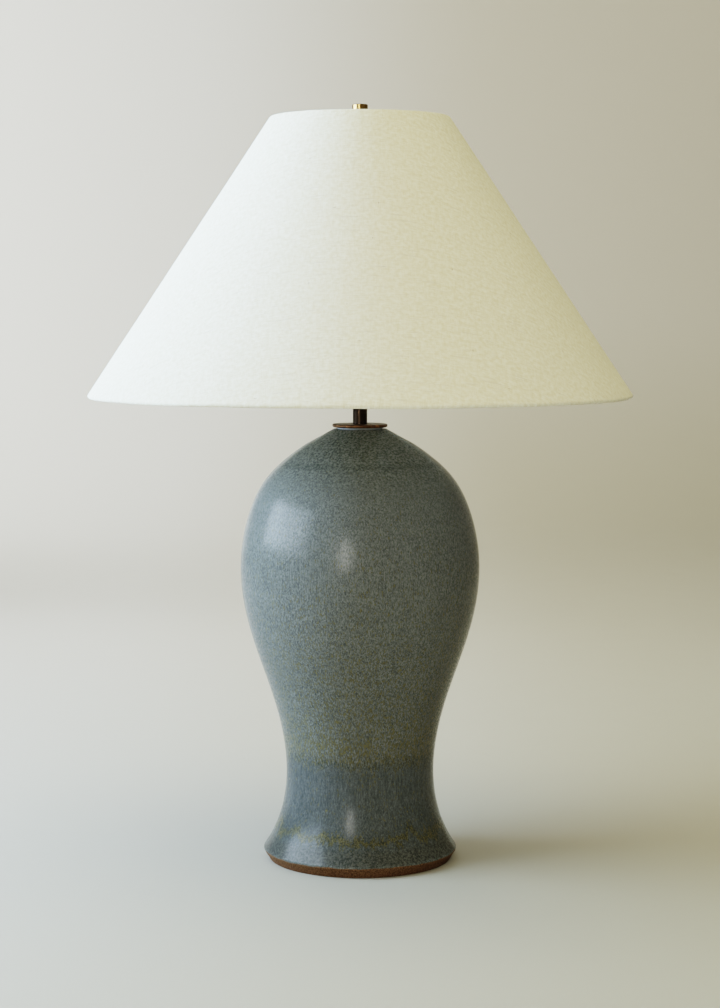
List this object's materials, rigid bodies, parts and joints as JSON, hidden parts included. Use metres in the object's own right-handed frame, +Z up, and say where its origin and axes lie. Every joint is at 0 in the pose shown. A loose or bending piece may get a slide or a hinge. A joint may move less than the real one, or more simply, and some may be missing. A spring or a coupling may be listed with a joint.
{
  "type": "table lamp",
  "caption": "Table lamp with a thrown speckled stoneware base, a turn-knob bulb socket, a wire harp and a wide cone shade of off-white linen held by a finial.",
  "frame": {"origin": "on the table, under the middle of the foot ring, on the axis of the vase and the shade", "axes": "+Z up the lamp; -Y is the front, with the switch key; +Y is the back, with the cord inlet; the legs of the harp stand at +X and -X"},
  "size_m": [0.5542, 0.5542, 0.7741],
  "materials": {
    "stoneware": "satin speckled blue-grey glaze over brown clay",
    "nylon": "moulded nylon",
    "steel": "zinc-plated steel",
    "rubber": "moulded rubber",
    "gasket": "pale grey rubber",
    "bronze": "aged bronze",
    "brass": "plain brass",
    "paper": "pressed insulating paper",
    "phenolic": "black phenolic moulding",
    "aluminium": "thin bright aluminium",
    "solder": "solder",
    "bulb_glass": "opal glass",
    "black_glass": "black glass",
    "wire": "white-coated wire",
    "linen": "off-white slub linen",
    "styrene": "white styrene sheet"
  },
  "bodies": {
    "base": {"ceramic_body": "stoneware", "cord_bushing": "nylon", "lamp_pipe": "steel", "rubber_washer": "rubber", "base_washer": "steel", "lock_ring": "steel", "base_nut": "steel", "neck_gasket": "gasket", "vase_cap": "bronze", "neck_tube": "bronze", "harp_saddle": "bronze", "saddle_nut": "steel", "socket_cap": "bronze", "socket_set_screw": "steel", "socket_shell": "bronze", "insulating_sleeve": "paper", "switch_body": "phenolic", "terminal_screw_hot": "brass", "terminal_screw_neutral": "steel", "screw_shell": "aluminium", "centre_contact": "brass"},
    "key": {"switch_spindle": "brass", "switch_knob": "phenolic"},
    "bulb": {"bulb_tip": "solder", "bulb_insulator": "black_glass", "bulb_cap": "aluminium", "bulb_glass": "bulb_glass"},
    "harp": {"harp_wire": "bronze", "harp_stud": "bronze"},
    "ferrule_right": {"ferrule_right": "bronze"},
    "ferrule_left": {"ferrule_left": "bronze"},
    "shade": {"spider_frame": "wire", "bottom_ring": "wire", "shade_linen": "linen", "shade_liner": "styrene"},
    "finial": {"finial": "bronze"}
  },
  "joints": [
    {"name": "switch_turn", "type": "hinge", "parent": "base", "child": "key", "pos_m": [0, -0.0162, 0.5397], "axis": [0, -1, 0], "continuous": true},
    {"name": "bulb_turn", "type": "hinge", "parent": "base", "child": "bulb", "pos_m": [0, 0, 0.5569], "axis": [0, 0, 1], "continuous": true},
    {"name": "harp_lift", "type": "slide", "parent": "base", "child": "harp", "axis": [0, 0, 1], "range_m": [0, 0.045]},
    {"name": "ferrule_right_slide", "type": "slide", "parent": "harp", "child": "ferrule_right", "axis": [0, 0, 1], "range_m": [0, 0.014]},
    {"name": "ferrule_left_slide", "type": "slide", "parent": "harp", "child": "ferrule_left", "axis": [0, 0, 1], "range_m": [0, 0.014]},
    {"name": "shade_swivel", "type": "hinge", "parent": "harp", "child": "shade", "pos_m": [0, 0, 0.7515], "axis": [0, 0, 1], "continuous": true},
    {"name": "finial_turn", "type": "hinge", "parent": "harp", "child": "finial", "pos_m": [0, 0, 0.7533], "axis": [0, 0, 1], "continuous": true}
  ]
}
